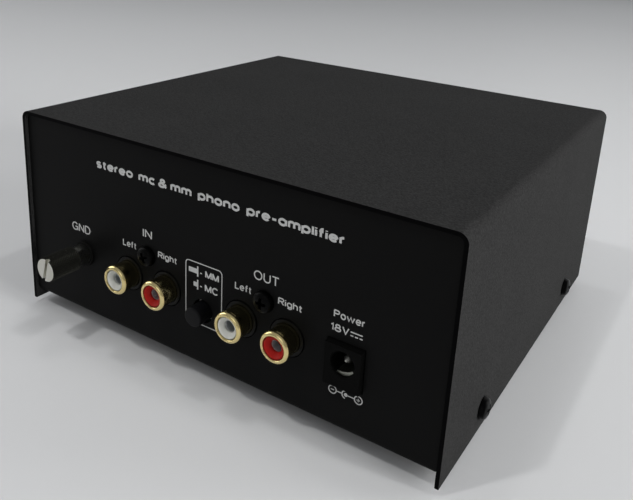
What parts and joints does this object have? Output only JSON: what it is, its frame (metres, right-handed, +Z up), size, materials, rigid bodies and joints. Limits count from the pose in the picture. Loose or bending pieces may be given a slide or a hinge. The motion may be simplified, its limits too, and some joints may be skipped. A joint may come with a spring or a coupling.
{
  "type": "phono preamplifier",
  "caption": "Compact phono preamp: a folded steel case on rubber feet, with gold input and output sockets, a mode push button, a power inlet and a ground thumbscrew.",
  "frame": {"origin": "on the surface it stands on, under the middle of its outline", "axes": "+Z up; -Y out of the panel with the sockets; +X to the right as that panel is faced"},
  "size_m": [0.141, 0.14, 0.063],
  "materials": {
    "cover_paint": "fine-textured matt black powder coat",
    "panel_paint": "smooth satin black paint",
    "screw_black": "black-plated steel",
    "foot_rubber": "matt moulded rubber",
    "zinc_steel": "bright zinc-plated steel",
    "board_green": "solder mask over glass fibre",
    "nickel_plate": "nickel-plated brass",
    "socket_plastic": "moulded black plastic",
    "gold_plate": "polished gold plate",
    "insulator_white": "moulded white plastic",
    "insulator_red": "moulded red plastic",
    "tin_plate": "tinned spring metal",
    "button_plastic": "moulded dark grey plastic",
    "plunger_plastic": "moulded natural plastic",
    "spring_steel": "drawn spring wire",
    "switch_plastic": "moulded black plastic",
    "inlet_plastic": "moulded dark grey plastic",
    "washer_black": "black fibre washer",
    "led_lens": "tinted clear epoxy",
    "chip_black": "moulded epoxy with tinned legs",
    "film_red": "dipped film capacitor case",
    "can_sleeve_blue": "shrink sleeve over an aluminium can",
    "can_sleeve_black": "shrink sleeve over an aluminium can",
    "resistor_body": "lacquered body with tinned leads",
    "regulator_black": "moulded body with a tinned tab"
  },
  "bodies": {
    "case": {"cover": "cover_paint", "chassis": "panel_paint", "cover_screws": "screw_black", "rubber_feet": "foot_rubber", "foot_screws": "zinc_steel", "foot_nuts": "zinc_steel", "circuit_board": "board_green", "board_standoffs": "nickel_plate", "board_screws": "zinc_steel", "input_housing": "socket_plastic", "output_housing": "socket_plastic", "socket_screws": "screw_black", "input_left_shell": "gold_plate", "input_right_shell": "gold_plate", "output_left_shell": "gold_plate", "output_right_shell": "gold_plate", "input_left_insulator": "insulator_white", "input_right_insulator": "insulator_red", "output_left_insulator": "insulator_white", "output_right_insulator": "insulator_red", "input_left_contact": "tin_plate", "input_right_contact": "tin_plate", "output_left_contact": "tin_plate", "output_right_contact": "tin_plate", "mode_spring": "spring_steel", "mode_switch_housing": "switch_plastic", "mode_switch_pins": "tin_plate", "inlet_housing": "inlet_plastic", "inlet_pin": "nickel_plate", "inlet_spring": "tin_plate", "ground_nut": "nickel_plate", "power_led": "led_lens", "amplifier_chips": "chip_black", "film_capacitors": "film_red", "small_electrolytics": "can_sleeve_blue", "supply_electrolytics": "can_sleeve_black", "resistors": "resistor_body", "voltage_regulators": "regulator_black"},
    "button": {"mode_button": "button_plastic", "mode_plunger": "plunger_plastic"},
    "clamp_washer": {"ground_washer": "washer_black"},
    "thumbscrew": {"ground_thumbscrew": "nickel_plate"}
  },
  "joints": [
    {"name": "mode_push", "type": "slide", "parent": "case", "child": "button", "axis": [0, 1, 0], "range_m": [0, 0.0025], "stiffness_N_per_m": 300, "springref_m": -0.003, "deforming": ["mode_spring"]},
    {"name": "ground_screw_out", "type": "slide", "parent": "case", "child": "clamp_washer", "axis": [0, -1, 0], "range_m": [0, 0.0035]},
    {"name": "ground_screw_turn", "type": "hinge", "parent": "clamp_washer", "child": "thumbscrew", "pos_m": [-0.0448, -0.0568, 0.024], "axis": [0, -1, 0], "range_deg": [0, 1800]}
  ],
  "couplings": [
    {"joint": "ground_screw_turn", "follows": "ground_screw_out", "rad_per_m": 8976}
  ]
}
